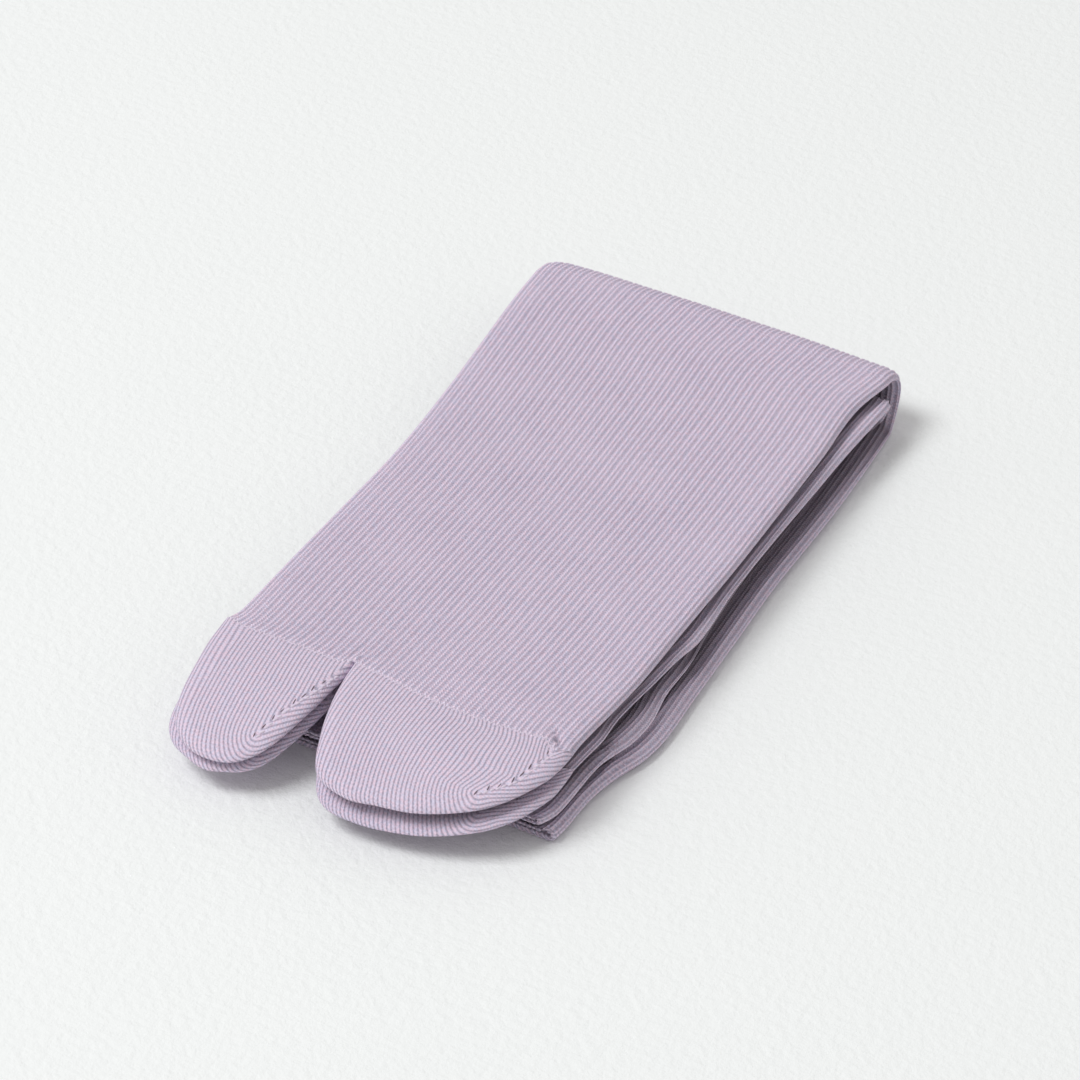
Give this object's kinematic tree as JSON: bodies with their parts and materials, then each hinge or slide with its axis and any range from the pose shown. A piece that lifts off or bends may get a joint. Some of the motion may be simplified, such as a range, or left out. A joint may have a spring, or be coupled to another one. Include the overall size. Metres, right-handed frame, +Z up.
{
  "type": "pair of tabi socks",
  "caption": "Pair of split-toe ribbed socks, laid one in the other and folded in half at the heel, with plain toe pockets and a welt at each leg's top.",
  "frame": {"origin": "centre of the pair's bounding box, on the surface that it lies on", "axes": "+Z up; +Y from the toes to the heel fold; +X from the big toe to the little toe"},
  "size_m": [0.0976, 0.1966, 0.0168],
  "materials": {
    "rib_knit": "soft cotton rib knit, pale lilac",
    "plain_knit": "fine plain cotton knit, pale lilac",
    "welt_knit": "elastic cotton welt, pale lilac"
  },
  "bodies": {
    "root": {"outer_body": "rib_knit", "outer_big_toe": "plain_knit", "outer_toes": "plain_knit", "outer_cuff": "welt_knit", "inner_body": "rib_knit", "inner_big_toe": "plain_knit", "inner_toes": "plain_knit", "inner_cuff": "welt_knit"}
  },
  "joints": []
}
